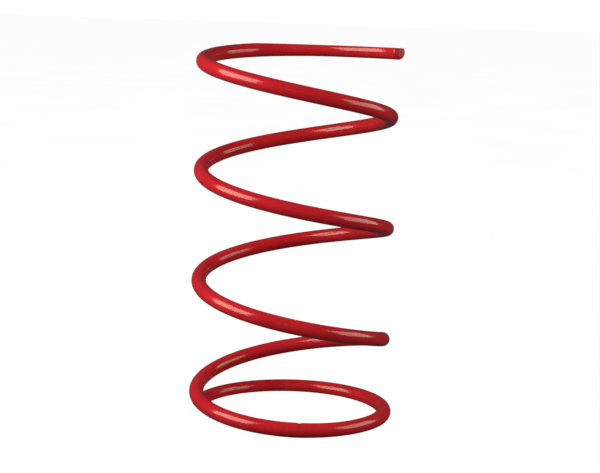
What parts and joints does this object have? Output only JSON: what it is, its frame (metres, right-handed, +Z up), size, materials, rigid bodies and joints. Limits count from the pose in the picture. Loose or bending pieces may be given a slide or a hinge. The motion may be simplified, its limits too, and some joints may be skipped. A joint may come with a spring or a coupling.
{
  "type": "coil spring",
  "caption": "Left-hand wound compression coil spring of round red-painted steel wire, with closed end coils ground flat, for a suspension strut.",
  "frame": {"origin": "on the coil axis, in the plane of the lower ground seat", "axes": "+Z up along the coil axis from the lower seat to the upper seat; +X to the right and -Y to the front, with the upper wire tip at the right, opening outwards"},
  "size_m": [0.1514, 0.148, 0.2694],
  "materials": {
    "painted_wire": "gloss red paint over spring steel"
  },
  "bodies": {
    "lower_seat_coil": {"lower_rise_left": "painted_wire", "lower_rise_front": "painted_wire", "lower_end_coil_front": "painted_wire", "lower_end_coil_right": "painted_wire", "lower_end_coil_rear": "painted_wire", "lower_end_tip": "painted_wire"},
    "coil_1_rear": {"coil_1_rear": "painted_wire"},
    "coil_1_right": {"coil_1_right": "painted_wire"},
    "coil_1_front": {"coil_1_front": "painted_wire"},
    "coil_1_left": {"coil_1_left": "painted_wire"},
    "coil_2_rear": {"coil_2_rear": "painted_wire"},
    "coil_2_right": {"coil_2_right": "painted_wire"},
    "coil_2_front": {"coil_2_front": "painted_wire"},
    "coil_2_left": {"coil_2_left": "painted_wire"},
    "coil_3_rear": {"coil_3_rear": "painted_wire"},
    "coil_3_right": {"coil_3_right": "painted_wire"},
    "coil_3_front": {"coil_3_front": "painted_wire"},
    "upper_rise_left": {"upper_rise_left": "painted_wire"},
    "upper_seat_coil": {"upper_end_tip": "painted_wire", "upper_end_coil_rear": "painted_wire"}
  },
  "joints": [
    {"name": "coil_1_rear_twist", "type": "hinge", "parent": "lower_seat_coil", "child": "coil_1_rear", "pos_m": [-0.04808, 0.04808, 0.02524], "axis": [0.6934, 0.6935, 0.1958], "range_deg": [0, 5], "stiffness_Nm_per_rad": 870},
    {"name": "coil_1_right_twist", "type": "hinge", "parent": "coil_1_rear", "child": "coil_1_right", "pos_m": [0.04808, 0.04808, 0.04656], "axis": [0.6935, -0.6934, 0.1958], "range_deg": [0, 5], "stiffness_Nm_per_rad": 870},
    {"name": "coil_1_front_twist", "type": "hinge", "parent": "coil_1_right", "child": "coil_1_front", "pos_m": [0.04808, -0.04808, 0.06789], "axis": [-0.6934, -0.6935, 0.1958], "range_deg": [0, 10], "stiffness_Nm_per_rad": 870},
    {"name": "coil_1_left_twist", "type": "hinge", "parent": "coil_1_front", "child": "coil_1_left", "pos_m": [-0.04808, -0.04808, 0.08862], "axis": [-0.6949, 0.6948, 0.1854], "range_deg": [0, 10], "stiffness_Nm_per_rad": 870},
    {"name": "coil_2_rear_twist", "type": "hinge", "parent": "coil_1_left", "child": "coil_2_rear", "pos_m": [-0.04808, 0.04808, 0.10877], "axis": [0.6948, 0.6949, 0.1854], "range_deg": [0, 10], "stiffness_Nm_per_rad": 870},
    {"name": "coil_2_right_twist", "type": "hinge", "parent": "coil_2_rear", "child": "coil_2_right", "pos_m": [0.04808, 0.04808, 0.12892], "axis": [0.6949, -0.6948, 0.1854], "range_deg": [0, 10], "stiffness_Nm_per_rad": 870},
    {"name": "coil_2_front_twist", "type": "hinge", "parent": "coil_2_right", "child": "coil_2_front", "pos_m": [0.04808, -0.04808, 0.14907], "axis": [-0.6948, -0.6949, 0.1854], "range_deg": [0, 10], "stiffness_Nm_per_rad": 870},
    {"name": "coil_2_left_twist", "type": "hinge", "parent": "coil_2_front", "child": "coil_2_left", "pos_m": [-0.04808, -0.04808, 0.16922], "axis": [-0.6949, 0.6948, 0.1854], "range_deg": [0, 10], "stiffness_Nm_per_rad": 870},
    {"name": "coil_3_rear_twist", "type": "hinge", "parent": "coil_2_left", "child": "coil_3_rear", "pos_m": [-0.04808, 0.04808, 0.18937], "axis": [0.6948, 0.6949, 0.1854], "range_deg": [0, 10], "stiffness_Nm_per_rad": 870},
    {"name": "coil_3_right_twist", "type": "hinge", "parent": "coil_3_rear", "child": "coil_3_right", "pos_m": [0.04808, 0.04808, 0.20952], "axis": [0.6949, -0.6948, 0.1854], "range_deg": [0, 10], "stiffness_Nm_per_rad": 870},
    {"name": "coil_3_front_twist", "type": "hinge", "parent": "coil_3_right", "child": "coil_3_front", "pos_m": [0.04808, -0.04808, 0.22967], "axis": [-0.6948, -0.6949, 0.1854], "range_deg": [0, 10], "stiffness_Nm_per_rad": 870},
    {"name": "upper_rise_left_twist", "type": "hinge", "parent": "coil_3_front", "child": "upper_rise_left", "pos_m": [-0.04808, -0.04808, 0.24966], "axis": [-0.697, 0.6968, 0.1692], "range_deg": [0, 5], "stiffness_Nm_per_rad": 870},
    {"name": "upper_seat_coil_twist", "type": "hinge", "parent": "upper_rise_left", "child": "upper_seat_coil", "pos_m": [-0.04808, 0.04808, 0.26291], "axis": [0.705, 0.7051, 0.0761], "range_deg": [0, 5], "stiffness_Nm_per_rad": 870}
  ],
  "couplings": [
    {"joint": "coil_1_right_twist", "follows": "coil_1_rear_twist", "ratio": 1},
    {"joint": "coil_1_front_twist", "follows": "coil_1_rear_twist", "ratio": 2},
    {"joint": "coil_1_left_twist", "follows": "coil_1_rear_twist", "ratio": 2},
    {"joint": "coil_2_rear_twist", "follows": "coil_1_rear_twist", "ratio": 2},
    {"joint": "coil_2_right_twist", "follows": "coil_1_rear_twist", "ratio": 2},
    {"joint": "coil_2_front_twist", "follows": "coil_1_rear_twist", "ratio": 2},
    {"joint": "coil_2_left_twist", "follows": "coil_1_rear_twist", "ratio": 2},
    {"joint": "coil_3_rear_twist", "follows": "coil_1_rear_twist", "ratio": 2},
    {"joint": "coil_3_right_twist", "follows": "coil_1_rear_twist", "ratio": 2},
    {"joint": "coil_3_front_twist", "follows": "coil_1_rear_twist", "ratio": 2},
    {"joint": "upper_rise_left_twist", "follows": "coil_1_rear_twist", "ratio": 1},
    {"joint": "upper_seat_coil_twist", "follows": "coil_1_rear_twist", "ratio": 1}
  ]
}
